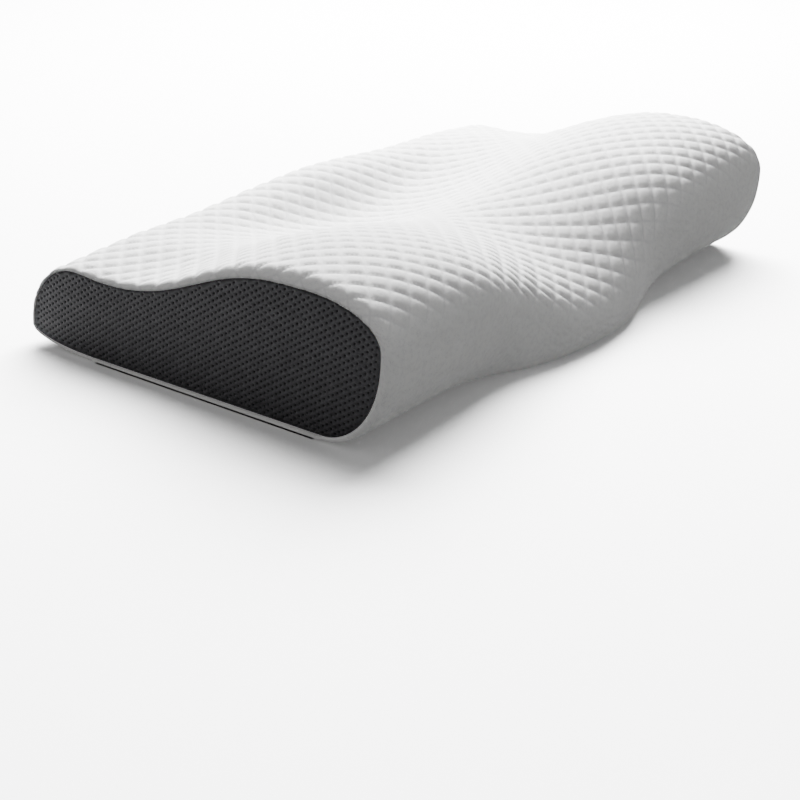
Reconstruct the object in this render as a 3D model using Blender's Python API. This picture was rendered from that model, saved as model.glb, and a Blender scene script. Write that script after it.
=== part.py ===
"""Contour neck pillow: a filled body in a diamond-quilted cover, with a net panel sewn in at each end.

The pillow lies flat on its base. X runs along its length, the higher neck side faces -Y and Z is up.
The body is lofted along X through side sections, and the left half mirrors the right half.
"""
import bpy
import bmesh
import numpy as np

MM = 0.001

# Overall size
LENGTH = 600.0                 # end to end, over the net panels

# Side sections, in millimetres: one row for each distance x from the middle of the pillow.
# nose: the foremost point of the neck side; crest: the top of the neck side; valley: the low line behind it;
# lobe: the top of the low side; back: the rearmost point; base: where the flat underside begins and ends.
# nose_pull and crest_pull give the fullness of the curve between nose and crest.
COLUMNS = ("x", "nose_y", "nose_z", "nose_pull", "crest_pull", "crest_y", "crest_z", "valley_y", "valley_z",
           "lobe_y", "lobe_z", "back_y", "back_z", "base_front_y", "base_back_y")
SECTIONS = (
    (0,   -209, 24, 0.47, 0.37,  -66,  88,  50, 66, 132, 97, 166, 30, -197, 120),
    (50,  -204, 29, 0.52, 0.44,  -71,  94,  53, 68, 132, 95, 167, 30, -193, 120),
    (90,  -195, 46, 0.60, 0.54,  -82, 104,  58, 72, 131, 92, 168, 30, -181, 120),
    (120, -194, 64, 0.62, 0.58,  -90, 113,  62, 77, 130, 90, 170, 29, -163, 119),
    (160, -198, 80, 0.60, 0.60,  -98, 123,  71, 84, 128, 89, 172, 28, -146, 117),
    (220, -201, 84, 0.56, 0.60, -104, 131,  84, 89, 128, 87, 177, 24, -139, 114),
    (265, -202, 86, 0.55, 0.62, -110, 131,  92, 83, 128, 83, 183, 20, -139, 112),
    (300, -202, 86, 0.55, 0.64, -114, 128,  98, 78, 128, 79, 188, 16, -139, 110),
)

# Fullness of the other curves of a section, as shares of a curve's height or depth
ROUND_PULL = 0.55              # a quarter of an ellipse
LOW_NOSE_PULL = 0.68           # the front below the nose keeps its fullness low down
LOW_BASE_PULL = 0.40
VALLEY_PULL = 0.45             # easy waves over the valley

# Quilting of the cover: diamonds with their points along X and around the section
DIAMOND = 22.0                 # point to point, both ways
STITCH_DEPTH = 0.6             # stitched crossings below the plain surface
PUFF_HEIGHT = 1.0              # diamond middles above it
QUILT_LENGTH = 440.0           # of the quilting around a section, from the nose over the top to the back
QUILT_STEPS = int(round(QUILT_LENGTH / (DIAMOND / 2)))
FADE_STEPS = 3                 # half diamonds over which the quilting dies out above the nose
BACK_FADE_STEPS = 2            # and above the back

# Steps around a section, outside the quilting
FRONT_STEPS = 6                # base to nose
BACK_STEPS = 4                 # back to base
BASE_STEPS = 6                 # across the flat underside
CURVE_STEPS = 24               # along each curve, before its points are spread evenly

# The cover turns over the end edges to the seam of the net panel; a radius at each named point of the section
END_RADIUS = {"base_front": 5.0, "nose": 7.0, "crest": 10.0, "valley": 3.5, "lobe": 2.5, "back": 3.0,
              "base_back": 4.0}
TURN_STEPS = 3                 # steps of the rounded end edge

# Net end panels
PANEL_THICKNESS = 1.8
PANEL_BACK_GAP = 0.3           # to the body behind the panel
PANEL_EDGE_GAP = 0.4           # to the cover's edge around it

SHARP_ANGLE = 9.0              # stitched lines and rims stay crisp past this bend, in degrees

# Colours, as linear values, and roughness
COVER_COLOUR = (0.84, 0.84, 0.845, 1.0)
COVER_ROUGHNESS = 0.92
NET_COLOUR = (0.022, 0.022, 0.024, 1.0)
NET_ROUGHNESS = 0.75


def table_row(x):
    """The section at distance x from the middle, blended smoothly between the rows of the table."""
    rows = np.array(SECTIONS, dtype=float)
    before = rows[1].copy()
    before[0] = -rows[1][0]
    after = 2.0 * rows[-1] - rows[-2]
    rows = np.vstack([before, rows, after])
    places = rows[:, 0]
    x = abs(x)
    i = int(np.clip(np.searchsorted(places, x, side="right") - 1, 1, len(rows) - 3))
    span = places[i + 1] - places[i]
    t = (x - places[i]) / span
    slope_in = (rows[i + 1] - rows[i - 1]) / (places[i + 1] - places[i - 1]) * span
    slope_out = (rows[i + 2] - rows[i]) / (places[i + 2] - places[i]) * span
    blend = ((2 * t ** 3 - 3 * t ** 2 + 1) * rows[i] + (t ** 3 - 2 * t ** 2 + t) * slope_in
             + (-2 * t ** 3 + 3 * t ** 2) * rows[i + 1] + (t ** 3 - t ** 2) * slope_out)
    return dict(zip(COLUMNS, blend))


def curve(start, leave, arrive, end):
    """A cubic curve from start to end, without its last point."""
    t = (np.arange(CURVE_STEPS) / CURVE_STEPS)[:, None]
    start, leave, arrive, end = (np.array(p, dtype=float) for p in (start, leave, arrive, end))
    return (1 - t) ** 3 * start + 3 * t * (1 - t) ** 2 * leave + 3 * t * t * (1 - t) * arrive + t ** 3 * end


def even_steps(points, steps):
    """Points at equal distances along a path, without the last one."""
    lengths = np.linalg.norm(np.diff(points, axis=0), axis=1)
    along = np.concatenate([[0.0], np.cumsum(lengths)])
    wanted = np.linspace(0.0, along[-1], steps + 1)[:-1]
    return np.stack([np.interp(wanted, along, points[:, k]) for k in range(2)], axis=1)


def section(x):
    """The closed section at x as (y, z) points, from the front of the base up, over and back under."""
    s = table_row(x)
    base_front = (s["base_front_y"], 0.0)
    nose = (s["nose_y"], s["nose_z"])
    crest = (s["crest_y"], s["crest_z"])
    valley = (s["valley_y"], s["valley_z"])
    lobe = (s["lobe_y"], s["lobe_z"])
    back = (s["back_y"], s["back_z"])
    base_back = (s["base_back_y"], 0.0)

    front = curve(base_front, (base_front[0] + (nose[0] - base_front[0]) * LOW_BASE_PULL, 0.0),
                  (nose[0], nose[1] * (1 - LOW_NOSE_PULL)), nose)
    rise = curve(nose, (nose[0], nose[1] + (crest[1] - nose[1]) * s["nose_pull"]),
                 (crest[0] + (nose[0] - crest[0]) * s["crest_pull"], crest[1]), crest)
    fall = curve(crest, (crest[0] + (valley[0] - crest[0]) * VALLEY_PULL, crest[1]),
                 (valley[0] - (valley[0] - crest[0]) * VALLEY_PULL, valley[1]), valley)
    swell = curve(valley, (valley[0] + (lobe[0] - valley[0]) * VALLEY_PULL, valley[1]),
                  (lobe[0] - (lobe[0] - valley[0]) * VALLEY_PULL, lobe[1]), lobe)
    tail = curve(lobe, (lobe[0] + (back[0] - lobe[0]) * ROUND_PULL, lobe[1]),
                 (back[0], back[1] + (lobe[1] - back[1]) * ROUND_PULL), back)
    tuck = curve(back, (back[0], back[1] * (1 - ROUND_PULL)),
                 (base_back[0] + (back[0] - base_back[0]) * ROUND_PULL, 0.0), base_back)
    top = np.vstack([rise, fall, swell, tail, [back]])
    return np.vstack([
        even_steps(np.vstack([front, [nose]]), FRONT_STEPS),
        even_steps(top, QUILT_STEPS),
        even_steps(np.vstack([tuck, [base_back]]), BACK_STEPS),
        even_steps(np.array([base_back, base_front]), BASE_STEPS),
    ])


def around_section(points):
    """Distances around a closed section, up to each point, and the whole."""
    lengths = np.linalg.norm(np.roll(points, -1, axis=0) - points, axis=1)
    return np.concatenate([[0.0], np.cumsum(lengths)[:-1]]), lengths.sum()


def inward(points):
    """Unit directions across the section's edge, pointing inside."""
    along = np.roll(points, -1, axis=0) - np.roll(points, 1, axis=0)
    along /= np.linalg.norm(along, axis=1)[:, None]
    return np.stack([along[:, 1], -along[:, 0]], axis=1)


def end_radii(points):
    """Radius of the turned end edge at each point of the end section."""
    s = table_row(LENGTH / 2)
    names = ("base_front", "nose", "crest", "valley", "lobe", "back", "base_back")
    marks = np.array([(s["base_front_y"], 0.0), (s["nose_y"], s["nose_z"]), (s["crest_y"], s["crest_z"]),
                      (s["valley_y"], s["valley_z"]), (s["lobe_y"], s["lobe_z"]), (s["back_y"], s["back_z"]),
                      (s["base_back_y"], 0.0)])
    along, whole = around_section(points)
    places = [along[np.argmin(np.linalg.norm(points - mark, axis=1))] for mark in marks]
    radii = [END_RADIUS[name] for name in names]
    return np.interp(along, places + [whole], radii + [radii[0]])


def end_ring(angle):
    """Section and x of the turned end edge at an angle from its start, 0, to the seam, 90 degrees."""
    points = section(LENGTH / 2)
    radii = end_radii(points)
    turned = points + inward(points) * (radii * (1 - np.cos(angle)))[:, None]
    return LENGTH / 2 - radii * (1 - np.sin(angle)), turned


def quilt_rise(column, row):
    """Height of the quilting at a step across and a step around: crossings low, diamond middles high."""
    level = -STITCH_DEPTH if (column + row) % 2 == 0 else PUFF_HEIGHT
    step = row - FRONT_STEPS
    if step <= 0 or step >= QUILT_STEPS:
        return 0.0
    front_share = min(1.0, step / FADE_STEPS)
    back_share = min(1.0, (QUILT_STEPS - step) / BACK_FADE_STEPS)
    return level * front_share * back_share


def section_middle():
    """The y halfway between the foremost and the rearmost point of the pillow."""
    rows = [dict(zip(COLUMNS, row)) for row in SECTIONS]
    return (min(s["nose_y"] for s in rows) + max(s["back_y"] for s in rows)) / 2


def add_ring(mesh, xs, points):
    """Vertices of one section, moved so that the pillow's middle is at y 0."""
    return [mesh.verts.new((x * MM, (y - MIDDLE_Y) * MM, z * MM)) for x, (y, z) in zip(xs, points)]


def bridge(mesh, ring_a, ring_b, column):
    """Faces between two rings, each split along the stitched lines of the quilting."""
    count = len(ring_a)
    for row in range(count):
        a, b = ring_a[row], ring_b[row]
        c, d = ring_b[(row + 1) % count], ring_a[(row + 1) % count]
        if (column + row) % 2 == 0:
            mesh.faces.new((a, b, c))
            mesh.faces.new((a, c, d))
        else:
            mesh.faces.new((a, b, d))
            mesh.faces.new((b, c, d))


def finish_object(mesh, name, material, collection):
    bmesh.ops.recalc_face_normals(mesh, faces=mesh.faces)
    data = bpy.data.meshes.new(name)
    mesh.to_mesh(data)
    mesh.free()
    data.materials.append(material)
    data.shade_smooth()
    data.set_sharp_from_angle(angle=np.radians(SHARP_ANGLE))
    obj = bpy.data.objects.new(name, data)
    collection.objects.link(obj)
    return obj


def make_body(material, collection):
    """The filled body: quilted cover over its filling, with a shallow recess in each end for the net."""
    mesh = bmesh.new()
    rings = []
    columns = int((LENGTH / 2 - max(END_RADIUS.values())) / (DIAMOND / 2))
    for column in range(-columns, columns + 1):
        x = column * DIAMOND / 2
        points = section(x)
        rise = np.array([quilt_rise(column, row) for row in range(len(points))])
        rings.append(add_ring(mesh, np.full(len(points), x), points - inward(points) * rise[:, None]))
    for angle in np.linspace(0.0, np.pi / 2, TURN_STEPS + 1)[1:]:
        xs, points = end_ring(angle)
        rings.append(add_ring(mesh, xs, points))
        rings.insert(0, add_ring(mesh, -xs, points))
    xs, points = end_ring(np.pi / 2)
    recess = PANEL_THICKNESS + PANEL_BACK_GAP
    rings.append(add_ring(mesh, xs - recess, points))
    rings.insert(0, add_ring(mesh, -(xs - recess), points))
    first = -columns - TURN_STEPS - 1
    for k in range(len(rings) - 1):
        bridge(mesh, rings[k], rings[k + 1], first + k)
    mesh.faces.new(rings[0])
    mesh.faces.new(rings[-1])
    return finish_object(mesh, "pillow_body", material, collection)


def make_panel(name, side, material, collection):
    """A net end panel, cut to the end's outline and lying just inside the cover's edge."""
    mesh = bmesh.new()
    xs, points = end_ring(np.pi / 2)
    cut = points + inward(points) * PANEL_EDGE_GAP
    outer = add_ring(mesh, side * xs, cut)
    inner = add_ring(mesh, side * (xs - PANEL_THICKNESS), cut)
    bridge(mesh, inner, outer, 0)
    mesh.faces.new(inner)
    mesh.faces.new(outer)
    return finish_object(mesh, name, material, collection)


def make_material(name, colour, roughness):
    material = bpy.data.materials.new(name)
    material.use_nodes = True
    shader = material.node_tree.nodes["Principled BSDF"]
    shader.inputs["Base Color"].default_value = colour
    shader.inputs["Roughness"].default_value = roughness
    shader.inputs["Metallic"].default_value = 0.0
    return material


MIDDLE_Y = section_middle()

for old in list(bpy.data.objects):
    bpy.data.objects.remove(old, do_unlink=True)

pillow = bpy.data.collections.new("cervical_pillow")
bpy.context.scene.collection.children.link(pillow)
cover_cloth = make_material("quilted_cover_knit", COVER_COLOUR, COVER_ROUGHNESS)
net_cloth = make_material("spacer_net", NET_COLOUR, NET_ROUGHNESS)
make_body(cover_cloth, pillow)
make_panel("end_panel_left", -1, net_cloth, pillow)
make_panel("end_panel_right", 1, net_cloth, pillow)
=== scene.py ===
import bmesh
import bpy
import numpy as np
from mathutils import Matrix, Vector, noise
from mathutils.geometry import delaunay_2d_cdt


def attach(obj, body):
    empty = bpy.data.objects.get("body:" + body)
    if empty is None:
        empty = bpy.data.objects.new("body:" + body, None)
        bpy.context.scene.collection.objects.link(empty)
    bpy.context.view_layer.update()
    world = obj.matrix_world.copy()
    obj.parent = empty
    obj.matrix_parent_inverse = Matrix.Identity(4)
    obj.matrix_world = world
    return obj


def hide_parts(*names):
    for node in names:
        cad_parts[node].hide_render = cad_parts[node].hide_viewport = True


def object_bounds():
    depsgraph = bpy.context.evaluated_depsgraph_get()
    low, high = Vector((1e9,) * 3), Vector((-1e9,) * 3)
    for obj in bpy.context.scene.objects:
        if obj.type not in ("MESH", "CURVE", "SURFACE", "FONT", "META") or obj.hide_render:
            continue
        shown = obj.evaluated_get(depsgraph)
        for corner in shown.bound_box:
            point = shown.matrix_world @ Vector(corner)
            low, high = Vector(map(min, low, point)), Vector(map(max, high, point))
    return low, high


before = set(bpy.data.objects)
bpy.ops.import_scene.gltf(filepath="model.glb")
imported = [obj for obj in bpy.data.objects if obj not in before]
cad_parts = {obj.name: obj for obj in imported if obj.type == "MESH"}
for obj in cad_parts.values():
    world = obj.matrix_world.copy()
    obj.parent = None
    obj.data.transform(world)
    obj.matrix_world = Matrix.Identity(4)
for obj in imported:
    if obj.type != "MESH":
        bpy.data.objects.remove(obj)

cad_low, cad_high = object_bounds()

# Camera
# It stands at the pillow's front left, a little over its height, and looks along the length of it.
# The lens is a long one, and the picture is shifted up in its frame.
MM = 0.001
FRAME_PIXELS = 800
FOCAL_PIXELS = 1598.6
VIEW_TURN = np.radians(52.38)
VIEW_DROP = np.radians(19.0)
CAMERA_PLACE = Vector((-1.121, -0.8344, 0.5228))
MIDDLE_ROW = 252
SENSOR_MM = 36.0

camera_data = bpy.data.cameras.new("photo_camera")
camera_data.sensor_width = SENSOR_MM
camera_data.lens = FOCAL_PIXELS / FRAME_PIXELS * SENSOR_MM
camera_data.shift_y = (MIDDLE_ROW - FRAME_PIXELS / 2) / FRAME_PIXELS
camera = bpy.data.objects.new("photo_camera", camera_data)
backward = Vector((-np.sin(VIEW_TURN) * np.cos(VIEW_DROP), -np.cos(VIEW_TURN) * np.cos(VIEW_DROP),
                   np.sin(VIEW_DROP)))
rightward = Vector((np.cos(VIEW_TURN), -np.sin(VIEW_TURN), 0.0))
upward = backward.cross(rightward)
camera_turn = Matrix((rightward, upward, backward)).transposed()
camera.matrix_world = Matrix.LocRotScale(CAMERA_PLACE, camera_turn, None)
bpy.context.collection.objects.link(camera)
bpy.context.scene.camera = camera

# Filled body
# A moulded foam core fills a fitted cover of double-layer knit. The knit is laid in diamonds, each
# puffed up between two narrow flat lines, and it turns over the ends to the seams of the net panels.
LENGTH = (cad_high.x - cad_low.x) / MM

# Side sections in millimetres, a row for each distance x from the middle: nose, foremost; crest, top of
# the neck side; valley behind it; lobe, top of the low side; back, rearmost; base, the flat underside's
# two edges.
COLUMNS = ("x", "nose_y", "nose_z", "nose_pull", "crest_pull", "crest_y", "crest_z",
           "valley_y", "valley_z", "lobe_y", "lobe_z", "back_y", "back_z", "base_front_y", "base_back_y")
SECTIONS = (
    (0,   -209, 24, 0.47, 0.37,  -66,  88,  50, 66, 132, 97, 166, 30, -197, 120),
    (50,  -204, 29, 0.52, 0.44,  -71,  94,  53, 68, 132, 95, 167, 30, -193, 120),
    (90,  -195, 46, 0.60, 0.54,  -82, 104,  58, 72, 131, 92, 168, 30, -181, 120),
    (120, -194, 64, 0.62, 0.58,  -90, 113,  62, 77, 130, 90, 170, 29, -163, 119),
    (160, -198, 80, 0.60, 0.60,  -98, 123,  71, 84, 128, 89, 172, 28, -146, 117),
    (220, -201, 84, 0.56, 0.60, -104, 131,  84, 89, 128, 87, 177, 24, -139, 114),
    (265, -202, 86, 0.55, 0.62, -110, 131,  92, 83, 128, 83, 183, 20, -139, 112),
    (300, -202, 86, 0.55, 0.64, -114, 128,  98, 78, 128, 79, 188, 16, -139, 110),
)
MIDDLE_Y = (min(row[1] for row in SECTIONS) + max(row[11] for row in SECTIONS)) / 2
ROUND_PULL = 0.55
LOW_NOSE_PULL = 0.68
LOW_BASE_PULL = 0.40
VALLEY_PULL = 0.45
CURVE_STEPS = 60
# The turned end edge has a radius of its own at each named point of the section
END_RADIUS = {"base_front": 5.0, "nose": 7.0, "crest": 10.0, "valley": 3.5, "lobe": 2.5, "back": 3.0,
              "base_back": 4.0}

# The quilting's grid, in half diamonds, and the mesh's steps in each
DIAMOND = 22.0
HALF_STEPS = 5
QUILT_HALVES = 40              # around a section, from the nose over the top to the back
LENGTH_HALVES = 26             # from the middle to where the ends begin to turn
END_COLUMNS = 8                # mesh columns over a turned end edge
FRONT_STEPS = 36
BACK_STEPS = 14
BASE_STEPS = 26

# The form of a diamond, in millimetres, and how it dies out
PUFF_HEIGHT = 1.5              # its middle over its lines
PUFF_FULLNESS = 2.4            # 1 is a plain arch, more is flatter on top with steeper sides
PUFF_SPREAD = 0.10             # how far the diamonds differ
CELL_TURNS = (12.9898, 78.233)
LINE_DEPTH = 0.5               # the lines below the plain surface
GHOST_SHARE = 0.14             # left of it where the cover is drawn tight, below nose and back
FADE_ROWS = 2.6                # half diamonds over which it dies out above them
SEAM_FADE = 9.0                # it also flattens this far from the end seams
SEAM_SHARE = 0.35              # to this share

# The cloth lies a little unevenly on the foam
WAVE_HEIGHT = 0.9
WAVE_SIZE = 70.0
WAVE_SEED = 3.7
LOOSE_FROM = 40.0              # in full this far from the end seams

SEAM_TUCK = 2.1                # the cover's edge turns in this far behind the net
UNDER_ROW = FRONT_STEPS + QUILT_HALVES * HALF_STEPS + BACK_STEPS


def table_row(x):
    """The section at distance x from the middle, blended smoothly between the rows of the table."""
    rows = np.array(SECTIONS, dtype=float)
    before = rows[1].copy()
    before[0] = -rows[1][0]
    after = 2.0 * rows[-1] - rows[-2]
    rows = np.vstack([before, rows, after])
    places = rows[:, 0]
    x = abs(x)
    i = int(np.clip(np.searchsorted(places, x, side="right") - 1, 1, len(rows) - 3))
    span = places[i + 1] - places[i]
    t = (x - places[i]) / span
    slope_in = (rows[i + 1] - rows[i - 1]) / (places[i + 1] - places[i - 1]) * span
    slope_out = (rows[i + 2] - rows[i]) / (places[i + 2] - places[i]) * span
    blend = ((2 * t ** 3 - 3 * t ** 2 + 1) * rows[i] + (t ** 3 - 2 * t ** 2 + t) * slope_in
             + (-2 * t ** 3 + 3 * t ** 2) * rows[i + 1] + (t ** 3 - t ** 2) * slope_out)
    return dict(zip(COLUMNS, blend))


def curve(start, leave, arrive, end):
    """A cubic curve from start to end, without its last point."""
    t = (np.arange(CURVE_STEPS) / CURVE_STEPS)[:, None]
    start, leave, arrive, end = (np.array(p, dtype=float) for p in (start, leave, arrive, end))
    return (1 - t) ** 3 * start + 3 * t * (1 - t) ** 2 * leave + 3 * t * t * (1 - t) * arrive + t ** 3 * end


def even_steps(points, steps):
    """Points at equal distances along a path, without the last one."""
    lengths = np.linalg.norm(np.diff(points, axis=0), axis=1)
    along = np.concatenate([[0.0], np.cumsum(lengths)])
    wanted = np.linspace(0.0, along[-1], steps + 1)[:-1]
    return np.stack([np.interp(wanted, along, points[:, k]) for k in range(2)], axis=1)


def side_section(x):
    """The closed section at x as (y, z) points, from the front of the base up, over and back under."""
    s = table_row(x)
    base_front = (s["base_front_y"], 0.0)
    nose = (s["nose_y"], s["nose_z"])
    crest = (s["crest_y"], s["crest_z"])
    valley = (s["valley_y"], s["valley_z"])
    lobe = (s["lobe_y"], s["lobe_z"])
    back = (s["back_y"], s["back_z"])
    base_back = (s["base_back_y"], 0.0)
    front = curve(base_front, (base_front[0] + (nose[0] - base_front[0]) * LOW_BASE_PULL, 0.0),
                  (nose[0], nose[1] * (1 - LOW_NOSE_PULL)), nose)
    rise = curve(nose, (nose[0], nose[1] + (crest[1] - nose[1]) * s["nose_pull"]),
                 (crest[0] + (nose[0] - crest[0]) * s["crest_pull"], crest[1]), crest)
    fall = curve(crest, (crest[0] + (valley[0] - crest[0]) * VALLEY_PULL, crest[1]),
                 (valley[0] - (valley[0] - crest[0]) * VALLEY_PULL, valley[1]), valley)
    swell = curve(valley, (valley[0] + (lobe[0] - valley[0]) * VALLEY_PULL, valley[1]),
                  (lobe[0] - (lobe[0] - valley[0]) * VALLEY_PULL, lobe[1]), lobe)
    tail = curve(lobe, (lobe[0] + (back[0] - lobe[0]) * ROUND_PULL, lobe[1]),
                 (back[0], back[1] + (lobe[1] - back[1]) * ROUND_PULL), back)
    tuck = curve(back, (back[0], back[1] * (1 - ROUND_PULL)),
                 (base_back[0] + (back[0] - base_back[0]) * ROUND_PULL, 0.0), base_back)
    top = np.vstack([rise, fall, swell, tail, [back]])
    return np.vstack([
        even_steps(np.vstack([front, [nose]]), FRONT_STEPS),
        even_steps(top, QUILT_HALVES * HALF_STEPS),
        even_steps(np.vstack([tuck, [base_back]]), BACK_STEPS),
        even_steps(np.array([base_back, base_front]), BASE_STEPS),
    ])


def inward(points):
    """Unit directions across a section's edge, pointing inside."""
    along = np.roll(points, -1, axis=0) - np.roll(points, 1, axis=0)
    along /= np.linalg.norm(along, axis=1)[:, None]
    return np.stack([along[:, 1], -along[:, 0]], axis=1)


def end_radii(points):
    """Radius of the turned end edge at each point of the end section."""
    s = table_row(LENGTH / 2)
    names = ("base_front", "nose", "crest", "valley", "lobe", "back", "base_back")
    marks = np.array([(s["base_front_y"], 0.0), (s["nose_y"], s["nose_z"]),
                      (s["crest_y"], s["crest_z"]), (s["valley_y"], s["valley_z"]),
                      (s["lobe_y"], s["lobe_z"]), (s["back_y"], s["back_z"]), (s["base_back_y"], 0.0)])
    lengths = np.linalg.norm(np.roll(points, -1, axis=0) - points, axis=1)
    along = np.concatenate([[0.0], np.cumsum(lengths)[:-1]])
    places = [along[np.argmin(np.linalg.norm(points - mark, axis=1))] for mark in marks]
    radii = [END_RADIUS[name] for name in names]
    return np.interp(along, places + [lengths.sum()], radii + [radii[0]])


def end_ring(angle):
    """Section and x of the turned end edge at an angle from its start, 0, to the seam, 90 degrees."""
    points = side_section(LENGTH / 2)
    radii = end_radii(points)
    turned = points + inward(points) * (radii * (1 - np.cos(angle)))[:, None]
    return LENGTH / 2 - radii * (1 - np.sin(angle)), turned


def ease(t):
    """0 to 1 with level ends."""
    t = np.clip(t, 0.0, 1.0)
    return t * t * (3 - 2 * t)


def half_rings():
    """The cover unquilted: each column's number, x and (y, z) points, from the middle to the +X seam."""
    rings = []
    step = DIAMOND / 2 / HALF_STEPS
    columns = LENGTH_HALVES * HALF_STEPS
    for column in range(columns + 1):
        points = side_section(column * step)
        rings.append((column, np.full(len(points), column * step), points))
    last_points = rings[-1][2]
    end_points = side_section(LENGTH / 2)
    radii = end_radii(end_points)
    straight = LENGTH / 2 - radii - columns * step
    for k in range(1, END_COLUMNS + 1):
        along = (straight + radii * np.pi / 2) * k / END_COLUMNS
        angle = np.clip((along - straight) / radii, 0.0, np.pi / 2)
        xs = columns * step + np.minimum(along, straight) + radii * np.sin(angle)
        blend = ease(along / (straight + radii))[:, None]
        base = last_points * (1 - blend) + end_points * blend
        rings.append((columns + k, xs, base + inward(base) * (radii * (1 - np.cos(angle)))[:, None]))
    return rings


def quilt_height(column, rows):
    """Height of the diamonds over the plain cover at one column, for each row of the section."""
    across = column / HALF_STEPS
    around = (rows - FRONT_STEPS) / HALF_STEPS
    arch = np.abs(np.sin(np.pi * (across + around) / 2) * np.sin(np.pi * (across - around) / 2))
    puff = 1 - (1 - arch) ** PUFF_FULLNESS
    cell = np.floor((across + around) / 2), np.floor((across - around) / 2)
    own = np.sin(cell[0] * CELL_TURNS[0] + cell[1] * CELL_TURNS[1])
    full = ease(around / FADE_ROWS) * ease((QUILT_HALVES - around) / FADE_ROWS)
    share = GHOST_SHARE + (1 - GHOST_SHARE) * full
    return (puff * PUFF_HEIGHT * (1 + PUFF_SPREAD * own) - LINE_DEPTH) * share


def surface_normals(plain):
    """Unit outward directions of the cover's grid of points."""
    along = np.gradient(plain, axis=0)
    around = np.roll(plain, -1, axis=1) - np.roll(plain, 1, axis=1)
    normals = np.cross(along, around)
    return normals / np.linalg.norm(normals, axis=2)[:, :, None]


def waves(places, size, seed):
    """Smooth unevenness between -1 and 1 at each place, its humps about size millimetres across."""
    flat = places.reshape(-1, 3)
    heights = [noise.noise(Vector(p) / size + Vector((seed, seed, seed))) for p in flat.tolist()]
    return np.array(heights).reshape(places.shape[:2])


def cover_grid():
    """Column numbers, points of the quilted cover by ring along X, and each one's place on the cloth."""
    half = half_rings()
    rings = [(-column, -xs, points) for column, xs, points in half[:0:-1]] + half
    plain = np.stack([np.column_stack([xs, points[:, 0] - MIDDLE_Y, points[:, 1]])
                      for _, xs, points in rings])
    rows = np.arange(plain.shape[1])
    normals = surface_normals(plain)
    rise = np.stack([quilt_height(column, rows) for column, _, _ in rings])
    from_seam = np.abs(LENGTH / 2 - np.abs(plain[:, :, 0]))
    rise *= SEAM_SHARE + (1 - SEAM_SHARE) * ease(from_seam / SEAM_FADE)
    loose = ease(from_seam / LOOSE_FROM)
    rise += waves(plain, WAVE_SIZE, WAVE_SEED) * WAVE_HEIGHT * loose
    under = (rows >= UNDER_ROW)[None, :] & np.ones(len(rings), dtype=bool)[:, None]
    rise[under] = 0.0
    points = plain + normals * rise[:, :, None]
    points[:, :, 2] = np.maximum(points[:, :, 2], 0.0)
    points[np.broadcast_to(under, points.shape[:2]), 2] = 0.0
    steps_x = np.linalg.norm(np.diff(plain, axis=0, prepend=plain[:1]), axis=2)
    steps_v = np.linalg.norm(np.diff(plain, axis=1, prepend=plain[:, :1]), axis=2)
    cloth = np.stack([np.cumsum(steps_x, axis=0), np.cumsum(steps_v, axis=1)], axis=2)
    return [column for column, _, _ in rings], points, cloth


def cover_faces(columns, count):
    """Faces of the grid; those that a line of the quilting crosses are split along it."""
    faces = []
    whole = 2 * HALF_STEPS
    for i, column in enumerate(columns[:-1]):
        for j in range(count):
            row = j - FRONT_STEPS
            k = (j + 1) % count
            a, b, c, d = i * count + j, (i + 1) * count + j, (i + 1) * count + k, i * count + k
            if (column - row) % whole == 0:
                faces += [(a, b, c), (a, c, d)]
            elif (column + row + 1) % whole == 0:
                faces += [(a, b, d), (b, c, d)]
            else:
                faces.append((a, b, c, d))
    return faces


def closed_piece(name, points, faces, material):
    """An object from points in millimetres; its faces all look outwards."""
    mesh = bpy.data.meshes.new(name)
    mesh.from_pydata((np.asarray(points) * MM).tolist(), [], faces)
    shell = bmesh.new()
    shell.from_mesh(mesh)
    bmesh.ops.recalc_face_normals(shell, faces=shell.faces)
    shell.to_mesh(mesh)
    shell.free()
    mesh.shade_smooth()
    mesh.materials.append(material)
    piece = bpy.data.objects.new(name, mesh)
    bpy.context.collection.objects.link(piece)
    return piece


def linear(code):
    """A colour's linear value from its sRGB hex code."""
    parts = [int(code[i:i + 2], 16) / 255 for i in (1, 3, 5)]
    return tuple(p / 12.92 if p <= 0.04045 else ((p + 0.055) / 1.055) ** 2.4 for p in parts) + (1.0,)


def add(material, kind, inputs=None, **settings):
    """A node with its settings; an input is a value, or another node's output to link."""
    tree = material.node_tree
    node = tree.nodes.new(kind)
    for name, value in settings.items():
        setattr(node, name, value)
    for socket, value in (inputs or {}).items():
        if isinstance(value, bpy.types.NodeSocket):
            tree.links.new(value, node.inputs[socket])
        else:
            node.inputs[socket].default_value = value
    return node


def new_material(name):
    """An empty material and its Principled shader."""
    material = bpy.data.materials.new(name)
    material.use_nodes = True
    return material, material.node_tree.nodes["Principled BSDF"]


# White polyester double knit, soft and matte: its stitches are too fine to see one by one, and give
# the diamonds a dotted look. They are drawn twice as coarse as real ones, which are about 0.7 mm.
COVER_WHITE = "#f4f4f3"
COVER_DOT = "#dfdfe0"
# The quilting's lines are painted a little greyer, as painted shade in their grooves, over the reach below.
COVER_GROOVE_SHADE = "#e6e6e6"
GROOVE_SHADE_REACH = 0.08
STITCH_MM = 1.4
STITCH_DEPTH_MM = 0.12


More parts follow.
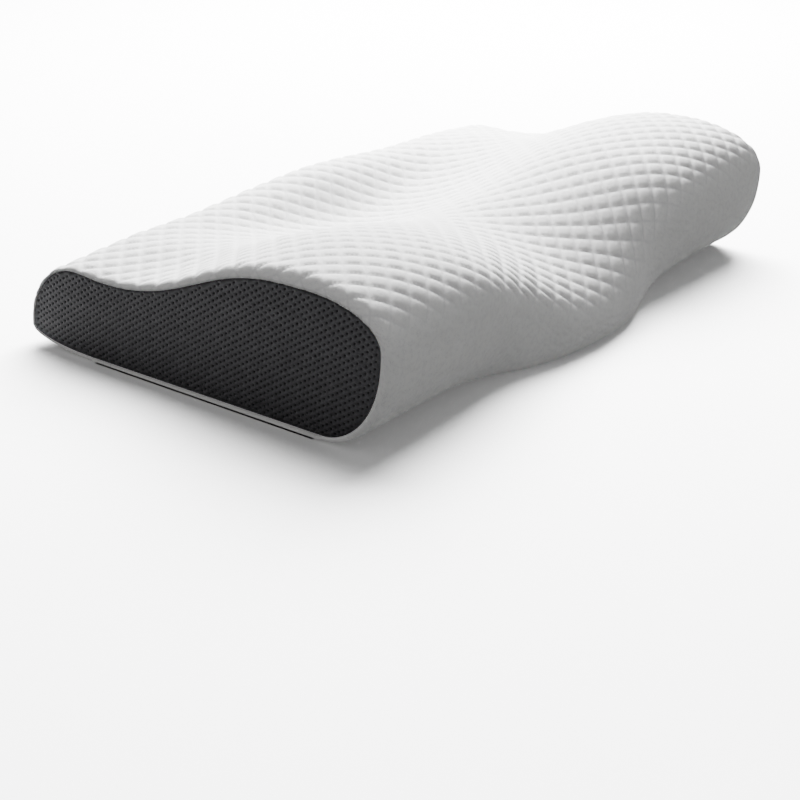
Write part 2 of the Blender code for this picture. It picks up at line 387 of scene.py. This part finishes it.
def knit_material():
    material, shader = new_material("double_knit_cover")
    cloth = add(material, "ShaderNodeUVMap", uv_map="cloth")
    per_metre = 1 / (STITCH_MM * MM)
    placed = add(material, "ShaderNodeMapping",
                 {"Vector": cloth.outputs["UV"], "Scale": (per_metre, per_metre, 1.0)})
    dots = add(material, "ShaderNodeTexVoronoi",
               {"Vector": placed.outputs["Vector"], "Scale": 1.0, "Randomness": 0.5},
               voronoi_dimensions="2D")
    pit = add(material, "ShaderNodeMapRange",
              {"Value": dots.outputs["Distance"], "From Min": 0.1, "From Max": 0.5,
               "To Min": 1.0, "To Max": 0.0})
    patches = add(material, "ShaderNodeTexNoise",
                  {"Vector": placed.outputs["Vector"], "Scale": 0.3, "Detail": 2.0}, noise_dimensions="2D")
    deep = add(material, "ShaderNodeMapRange",
               {"Value": patches.outputs["Fac"], "From Min": 0.42, "From Max": 0.7})
    dot = add(material, "ShaderNodeMath", {0: pit.outputs["Result"], 1: deep.outputs["Result"]},
              operation="MULTIPLY")
    line = add(material, "ShaderNodeAttribute", attribute_name="line")
    # Painted shade: the cover is greyer along the quilting's lines.
    shade = add(material, "ShaderNodeMix",
                {0: line.outputs["Fac"], 6: linear(COVER_WHITE), 7: linear(COVER_GROOVE_SHADE)},
                data_type="RGBA")
    colour = add(material, "ShaderNodeMix", {0: dot.outputs[0], 6: shade.outputs[2], 7: linear(COVER_DOT)},
                 data_type="RGBA")
    relief = add(material, "ShaderNodeBump",
                 {"Height": dot.outputs[0], "Strength": 1.0, "Distance": STITCH_DEPTH_MM * MM}, invert=True)
    tree = material.node_tree
    tree.links.new(colour.outputs[2], shader.inputs["Base Color"])
    tree.links.new(relief.outputs["Normal"], shader.inputs["Normal"])
    shader.inputs["Roughness"].default_value = 0.95
    shader.inputs["IOR"].default_value = 1.5
    shader.inputs["Specular IOR Level"].default_value = 0.25
    shader.inputs["Sheen Weight"].default_value = 0.15
    shader.inputs["Sheen Roughness"].default_value = 0.5
    return material


def add_cover_maps(mesh, columns, cloth):
    """The cloth's own coordinates, in metres, and a mask of the points close to a line of the quilting,
    where the cover is painted greyer as painted shade in its groove.
    """
    count = cloth.shape[1]
    places = (np.concatenate([cloth.reshape(-1, 2), cloth[0], cloth[-1]]) * MM).astype(np.float32)
    corners = np.zeros(len(mesh.loops), dtype=np.int32)
    mesh.loops.foreach_get("vertex_index", corners)
    uv = mesh.uv_layers.new(name="cloth")
    uv.uv.foreach_set("vector", places[corners].ravel())
    rows = (np.arange(count) - FRONT_STEPS)[None, :] / HALF_STEPS
    across = np.array(columns)[:, None] / HALF_STEPS
    arch = np.abs(np.sin(np.pi * (across + rows) / 2) * np.sin(np.pi * (across - rows) / 2))
    share = ease(rows / FADE_ROWS) * ease((QUILT_HALVES - rows) / FADE_ROWS)
    # Painted shade in the grooves: points close to a quilting line, where the diamonds are full.
    groove_shade_mask = np.where(arch < GROOVE_SHADE_REACH, 1.0, 0.0) * share
    groove_shade_mask = np.concatenate([groove_shade_mask.ravel(), np.zeros(2 * count)]).astype(np.float32)
    mesh.attributes.new("line", "FLOAT", "POINT").data.foreach_set("value", groove_shade_mask)


columns, points, cloth = cover_grid()
body_faces = cover_faces(columns, points.shape[1])
tucked = points[[0, -1]] - np.array([[[-SEAM_TUCK, 0, 0]], [[SEAM_TUCK, 0, 0]]])
all_points = np.concatenate([points.reshape(-1, 3), tucked.reshape(-1, 3)])
around = points.shape[1]
grid_size = points.shape[0] * around
for side in (0, 1):
    rim = (points.shape[0] - 1) * around * side
    inner = grid_size + around * side
    for j in range(around):
        k = (j + 1) % around
        body_faces.append((rim + j, rim + k, inner + k, inner + j))
    body_faces.append(tuple(range(inner, inner + around)))
body = closed_piece("quilted_body", all_points, body_faces, knit_material())
add_cover_maps(body.data, columns, cloth)
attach(body, "root")
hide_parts("pillow_body")

# End panels
# Each is a piece of black spacer net, 1 to 3 mm thick, warp-knitted with oval openings in slanting rows.
# It is cut to the outline of the end and sewn to the cover's turned edge.
FOAM_END = 297.9
FOAM_GAP = 0.3
NET_BACK = FOAM_END + FOAM_GAP
NET_EDGE = 0.4                 # from the cover's edge
NET_SEAM_X = 299.2             # the net's face at its seam
NET_CROWN = 1.6                # how far its middle stands out from that
NET_CROWN_REACH = 26.0         # it stands out in full this far from its edge
NET_CROWN_SHAPE = 0.8
# The openings stand in slanting rows; these are the steps in (y, z) along a row and from row to row.
ROW_STEP = (4.21, -2.70)
NEXT_ROW_STEP = (3.53, 3.08)
HOLE_HALF_LENGTH = 1.45        # along its row
HOLE_HALF_WIDTH = 1.05
HOLE_FLOOR_SHARE = 0.62        # of its floor's size to its rim's
HOLE_DEPTH = 1.0
HOLE_SIDES = 8
HOLE_FROM_SEAM = 2.2
RIM_HIGHLIGHT_SHARE = 0.3                # how much of a rib's painted highlight an opening's rim has
RIB_HEIGHT = 0.28              # the threads between the rows stand higher than those within a row
NET_MARGIN = 1.2               # no rib comes closer to the seam


def net_outline():
    """The net's cut edge, as (y, z) points."""
    xs, ring = end_ring(np.pi / 2)
    ring = ring + inward(ring) * NET_EDGE
    return np.column_stack([ring[:, 0] - MIDDLE_Y, ring[:, 1]])


def inside(points, outline):
    """Which points lie inside the outline, by counting the edges to the right of each."""
    hits = np.zeros(len(points), dtype=int)
    for (y0, z0), (y1, z1) in zip(outline, np.roll(outline, -1, axis=0)):
        crosses = (z0 > points[:, 1]) != (z1 > points[:, 1])
        at = y0 + (points[:, 1] - z0) / (z1 - z0 + 1e-12) * (y1 - y0)
        hits += crosses & (points[:, 0] < at)
    return hits % 2 == 1


def edge_distance(points, outline):
    """Each point's distance from the outline."""
    best = np.full(len(points), np.inf)
    for start, end in zip(outline, np.roll(outline, -1, axis=0)):
        along = end - start
        t = np.clip(((points - start) @ along) / (along @ along), 0.0, 1.0)
        away = points - start - t[:, None] * along
        best = np.minimum(best, np.linalg.norm(away, axis=1))
    return best


def net_points(outline):
    """Points of the net's face, and for each its depth, its share of an opening and its share of a rib."""
    low, high = outline.min(axis=0), outline.max(axis=0)
    row, up = np.array(ROW_STEP), np.array(NEXT_ROW_STEP)
    reach = int((high - low).sum() / min(np.linalg.norm(row), np.linalg.norm(up)))
    i, j = np.meshgrid(np.arange(-reach, reach + 1), np.arange(-reach, reach + 1))
    centres = (low + high) / 2 + i.reshape(-1, 1) * row + j.reshape(-1, 1) * up
    centres = centres[np.all((centres > low) & (centres < high), axis=1)]
    centres = centres[inside(centres, outline)]
    centres = centres[edge_distance(centres, outline) > HOLE_FROM_SEAM]
    turns = np.arange(HOLE_SIDES) / HOLE_SIDES * 2 * np.pi
    along = row / np.linalg.norm(row)
    across = np.array([-along[1], along[0]])
    oval = (np.cos(turns)[:, None] * along * HOLE_HALF_LENGTH
            + np.sin(turns)[:, None] * across * HOLE_HALF_WIDTH)
    rims = (centres[:, None, :] + oval).reshape(-1, 2)
    floors = (centres[:, None, :] + oval * HOLE_FLOOR_SHARE).reshape(-1, 2)
    ribs = np.vstack([centres + up / 2, centres + (row + up) / 2])
    ribs = ribs[inside(ribs, outline)]
    ribs = ribs[edge_distance(ribs, outline) > NET_MARGIN]
    groups = ((outline, 0.0, 0.0, 0.0), (rims, 0.0, 0.0, RIM_HIGHLIGHT_SHARE), (floors, HOLE_DEPTH, 1.0, 0.0),
              (centres, HOLE_DEPTH, 1.0, 0.0), (ribs, -RIB_HEIGHT, 0.0, 1.0))
    flat = np.vstack([group[0] for group in groups])
    levels = np.vstack([np.tile(group[1:], (len(group[0]), 1)) for group in groups])
    return flat, levels


# Polyester net: dull black threads with a faint gleam. Its raised ribs are painted lighter, a painted
# highlight, and its openings are painted near black, painted shade inside them.
NET_RIB_HIGHLIGHT = "#3a3a3c"
NET_THREAD = "#222224"
NET_OPENING_SHADE = "#040404"


def net_material():
    material, shader = new_material("spacer_net")
    opening = add(material, "ShaderNodeAttribute", attribute_name="opening")
    place = add(material, "ShaderNodeTexCoord")
    fibre = add(material, "ShaderNodeTexNoise",
                {"Vector": place.outputs["Object"], "Scale": 900.0, "Detail": 3.0})
    rib = add(material, "ShaderNodeAttribute", attribute_name="rib")
    # Painted highlight: the raised ribs are painted lighter than the threads within a row.
    threads = add(material, "ShaderNodeMix",
                  {0: rib.outputs["Fac"], 6: linear(NET_THREAD), 7: linear(NET_RIB_HIGHLIGHT)}, data_type="RGBA")
    # Painted shade: the openings are painted near black.
    colour = add(material, "ShaderNodeMix",
                 {0: opening.outputs["Fac"], 6: threads.outputs[2], 7: linear(NET_OPENING_SHADE)},
                 data_type="RGBA")
    relief = add(material, "ShaderNodeBump",
                 {"Height": fibre.outputs["Fac"], "Strength": 0.6, "Distance": 0.0003})
    rough = add(material, "ShaderNodeMapRange",
                {"Value": fibre.outputs["Fac"], "To Min": 0.55, "To Max": 0.8})
    tree = material.node_tree
    tree.links.new(colour.outputs[2], shader.inputs["Base Color"])
    tree.links.new(relief.outputs["Normal"], shader.inputs["Normal"])
    tree.links.new(rough.outputs["Result"], shader.inputs["Roughness"])
    shader.inputs["IOR"].default_value = 1.5
    shader.inputs["Specular IOR Level"].default_value = 0.12
    return material


outline = net_outline()
flat, levels = net_points(outline)
edges = [(i, (i + 1) % len(outline)) for i in range(len(outline))]
net_verts, _, net_faces, origins, _, _ = delaunay_2d_cdt(
    [Vector(p) for p in flat.tolist()], edges, [tuple(range(len(outline)))], 1, 1e-5)
face_yz = np.array([v[:] for v in net_verts])
face_levels = np.array([levels[o[0]] if o else np.zeros(3) for o in origins])
from_edge = edge_distance(face_yz, outline)
crown = NET_CROWN * ease(from_edge / NET_CROWN_REACH) ** NET_CROWN_SHAPE
face_x = NET_SEAM_X + crown - face_levels[:, 0]
count = len(face_yz)
edge_ids = [next(i for i, o in enumerate(origins) if k in o) for k in range(len(outline))]
net_black = net_material()
for name, side, node in (("net_end_left", -1, "end_panel_left"), ("net_end_right", 1, "end_panel_right")):
    front = np.column_stack([side * face_x, face_yz])
    back = np.column_stack([np.full(len(outline), side * NET_BACK), outline])
    faces = [tuple(f) for f in net_faces]
    for k in range(len(outline)):
        n = (k + 1) % len(outline)
        faces.append((edge_ids[k], edge_ids[n], count + n, count + k))
    faces.append(tuple(range(count, count + len(outline))))
    net = closed_piece(name, np.vstack([front, back]), faces, net_black)
    # The openings' mask carries the painted shade inside them, and the ribs' mask carries the painted
    # highlight on them.
    for attribute, level in (("opening", face_levels[:, 1]), ("rib", face_levels[:, 2])):
        shares = np.concatenate([level, np.zeros(len(outline))]).astype(np.float32)
        net.data.attributes.new(attribute, "FLOAT", "POINT").data.foreach_set("value", shares)
    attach(net, "root")
    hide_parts(node)

# Floor and light
# A plain white floor with a large soft light of its own. The pillow has a near soft light beyond its far
# end, a faint one at its left, and dim light from all round. The floor gives no light back to it, as
# black cards would do in a studio.
FLOOR_SIZE = 12.0
FLOOR_GAP = 0.0003
FLOOR_WHITE = "#fbfbfb"
bpy.ops.mesh.primitive_plane_add(size=FLOOR_SIZE, location=(0.0, 0.0, cad_low.z - FLOOR_GAP))
floor = bpy.context.object
floor.name = "studio_floor"
floor_paint, floor_shader = new_material("matte_floor")
floor_shader.inputs["Base Color"].default_value = linear(FLOOR_WHITE)
floor_shader.inputs["Roughness"].default_value = 0.9
floor.data.materials.append(floor_paint)
floor.visible_diffuse = False


def soft_light(name, place, size, power, lit):
    """A square light that faces the pillow and falls on the lit objects alone."""
    data = bpy.data.lights.new(name, "AREA")
    data.energy = power
    data.size = size
    light = bpy.data.objects.new(name, data)
    light.location = place
    light.rotation_euler = Vector(place).to_track_quat("Z", "Y").to_euler()
    light.visible_camera = False
    bpy.context.collection.objects.link(light)
    light.light_linking.receiver_collection = bpy.data.collections.new(name + "_falls_on")
    for piece in lit:
        light.light_linking.receiver_collection.objects.link(piece)


KEY_PLACE = (0.74, 0.76, 0.76)
KEY_SIZE = 0.65
KEY_POWER = 160.0
FLOOR_LIGHT_PLACE = (1.2, 0.75, 1.9)
FLOOR_LIGHT_SIZE = 2.2
FLOOR_POWER = 900.0
FILL_PLACE = (-2.2, -0.3, 0.9)
FILL_SIZE = 1.4
FILL_POWER = 0.8
pillow = [piece for piece in bpy.context.scene.objects if piece.type == "MESH" and piece is not floor]
soft_light("key_light", KEY_PLACE, KEY_SIZE, KEY_POWER, pillow)
soft_light("fill_light", FILL_PLACE, FILL_SIZE, FILL_POWER, pillow)
soft_light("floor_light", FLOOR_LIGHT_PLACE, FLOOR_LIGHT_SIZE, FLOOR_POWER, [floor])

SKY_LIGHT = 0.42
LOW_LIGHT = 0.17
LOW_BELOW = -0.1               # heights of direction, -1 down to 1 up
SKY_FROM = 0.35
world = bpy.data.worlds.new("studio")
world.use_nodes = True
direction = add(world, "ShaderNodeTexCoord")
height = add(world, "ShaderNodeSeparateXYZ", {"Vector": direction.outputs["Generated"]})
sky = add(world, "ShaderNodeMapRange", {"Value": height.outputs["Z"], "From Min": LOW_BELOW,
                                        "From Max": SKY_FROM, "To Min": LOW_LIGHT,
                                        "To Max": SKY_LIGHT})
background = world.node_tree.nodes["Background"]
background.inputs["Color"].default_value = (1.0, 1.0, 1.0, 1.0)
world.node_tree.links.new(sky.outputs["Result"], background.inputs["Strength"])
bpy.context.scene.world = world
